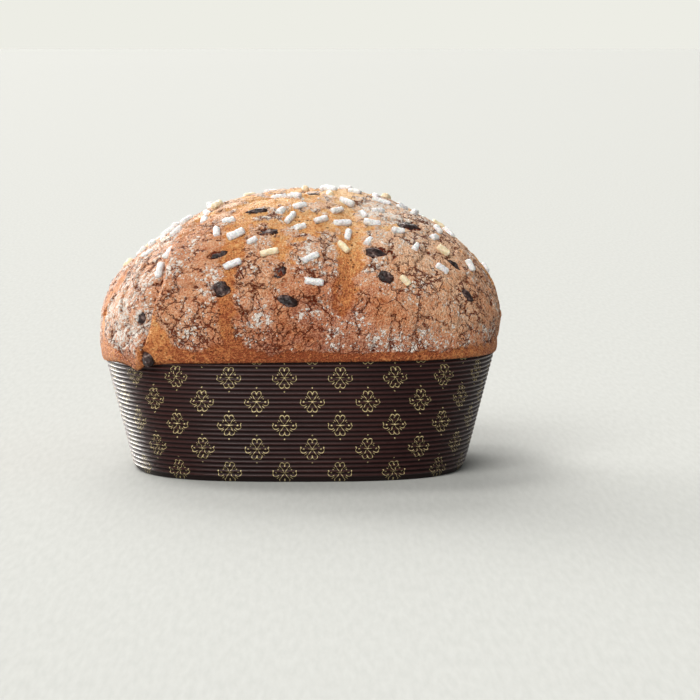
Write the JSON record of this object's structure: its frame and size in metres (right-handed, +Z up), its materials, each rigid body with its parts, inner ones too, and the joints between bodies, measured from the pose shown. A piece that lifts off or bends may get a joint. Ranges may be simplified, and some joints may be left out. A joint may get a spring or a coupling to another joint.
{
  "type": "panettone",
  "caption": "Low domed sweet loaf with a cracked glaze, pearl sugar and chocolate chips, in a pleated dark paper case.",
  "frame": {"origin": "middle of the paper case's flat base, on the surface it stands on", "axes": "+Z up, -Y towards the side that the picture shows, +X to the right of that side"},
  "size_m": [0.2163, 0.2155, 0.1511],
  "materials": {
    "crust": "baked crust with a cracked almond and sugar glaze, dusted with icing sugar",
    "pearl_sugar": "white pearl sugar rods, softly glossy, fused to the crust",
    "chocolate": "dark chocolate chips, half melted in baking",
    "case_paper": "dark brown corrugated baking paper with a small gold ornament, semi-gloss"
  },
  "bodies": {
    "root": {"loaf": "crust", "paper_case": "case_paper", "chocolate_01": "chocolate", "chocolate_02": "chocolate", "chocolate_03": "chocolate", "chocolate_04": "chocolate", "chocolate_05": "chocolate", "chocolate_06": "chocolate", "chocolate_07": "chocolate", "chocolate_08": "chocolate", "chocolate_09": "chocolate", "chocolate_10": "chocolate", "chocolate_11": "chocolate", "chocolate_12": "chocolate", "chocolate_13": "chocolate", "chocolate_14": "chocolate", "chocolate_15": "chocolate", "chocolate_16": "chocolate", "chocolate_17": "chocolate", "chocolate_18": "chocolate", "chocolate_19": "chocolate"}
  },
  "joints": []
}
